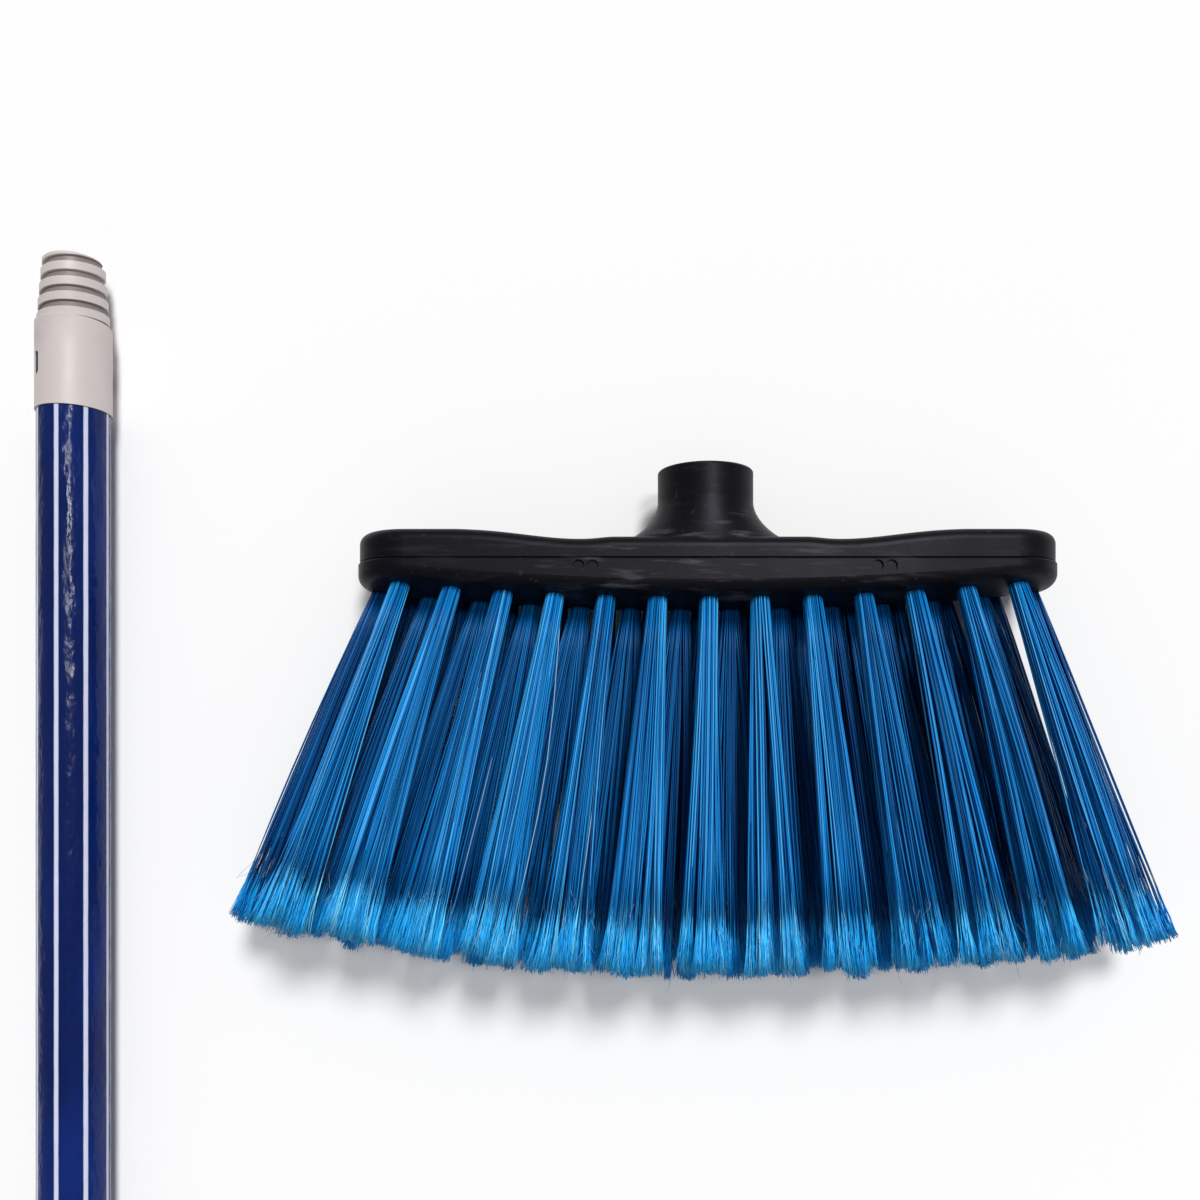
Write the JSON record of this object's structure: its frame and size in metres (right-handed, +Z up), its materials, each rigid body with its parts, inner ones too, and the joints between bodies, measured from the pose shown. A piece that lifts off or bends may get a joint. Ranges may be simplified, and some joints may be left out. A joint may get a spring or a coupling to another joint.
{
  "type": "broom",
  "caption": "Floor broom lying flat with its screw-in handle taken off: splayed bristle tufts in a moulded head with a threaded socket, and a film-covered tube handle.",
  "frame": {"origin": "on the flat back of the head's tuft block, at the middle of its length, where the head lies on the floor", "axes": "+X along the head to the right, +Y from the bristles to the handle socket, +Z up from the floor"},
  "size_m": [0.3713, 1.2, 0.0483],
  "materials": {
    "black_plastic": "semi-matt moulded polypropylene",
    "bristle": "satin drawn filament with flagged, paler tips",
    "anchor_steel": "plain flat wire",
    "tube_steel": "bare welded steel",
    "handle_film": "glossy film with pale lengthwise stripes",
    "grey_plastic": "satin moulded plastic"
  },
  "bodies": {
    "head": {"head_cover": "black_plastic", "tuft_block": "black_plastic", "tuft_anchors": "anchor_steel", "tuft_front_01": "bristle", "tuft_front_02": "bristle", "tuft_front_03": "bristle", "tuft_front_04": "bristle", "tuft_front_05": "bristle", "tuft_front_06": "bristle", "tuft_front_07": "bristle", "tuft_front_08": "bristle", "tuft_front_09": "bristle", "tuft_front_10": "bristle", "tuft_front_11": "bristle", "tuft_front_12": "bristle", "tuft_front_13": "bristle", "tuft_middle_01": "bristle", "tuft_middle_02": "bristle", "tuft_middle_03": "bristle", "tuft_middle_04": "bristle", "tuft_middle_05": "bristle", "tuft_middle_06": "bristle", "tuft_middle_07": "bristle", "tuft_middle_08": "bristle", "tuft_middle_09": "bristle", "tuft_middle_10": "bristle", "tuft_middle_11": "bristle", "tuft_middle_12": "bristle", "tuft_middle_13": "bristle", "tuft_middle_14": "bristle", "tuft_rear_01": "bristle", "tuft_rear_02": "bristle", "tuft_rear_03": "bristle", "tuft_rear_04": "bristle", "tuft_rear_05": "bristle", "tuft_rear_06": "bristle", "tuft_rear_07": "bristle", "tuft_rear_08": "bristle", "tuft_rear_09": "bristle", "tuft_rear_10": "bristle", "tuft_rear_11": "bristle", "tuft_rear_12": "bristle", "tuft_rear_13": "bristle"},
    "handle_tube": {"handle_tube": "tube_steel"},
    "handle_cap": {"hang_cap": "grey_plastic"},
    "handle_skin": {"handle_sleeve": "handle_film", "threaded_tip": "grey_plastic"}
  },
  "joints": [
    {"name": "handle_swing", "type": "hinge", "parent": "head", "child": "handle_tube", "pos_m": [-0.1051, 0.07165, 0.01585], "axis": [0.0395, 0, -0.9992], "range_deg": [0, 180]},
    {"name": "handle_advance", "type": "slide", "parent": "handle_tube", "child": "handle_cap", "axis": [0, 1, 0], "range_m": [0, 0.02032]},
    {"name": "handle_turn", "type": "hinge", "parent": "handle_cap", "child": "handle_skin", "pos_m": [-0.2102, 0, 0.0117], "axis": [0, 1, 0], "range_deg": [0, 1440]}
  ],
  "couplings": [
    {"joint": "handle_advance", "follows": "handle_turn", "m_per_rad": 0.00080851}
  ]
}
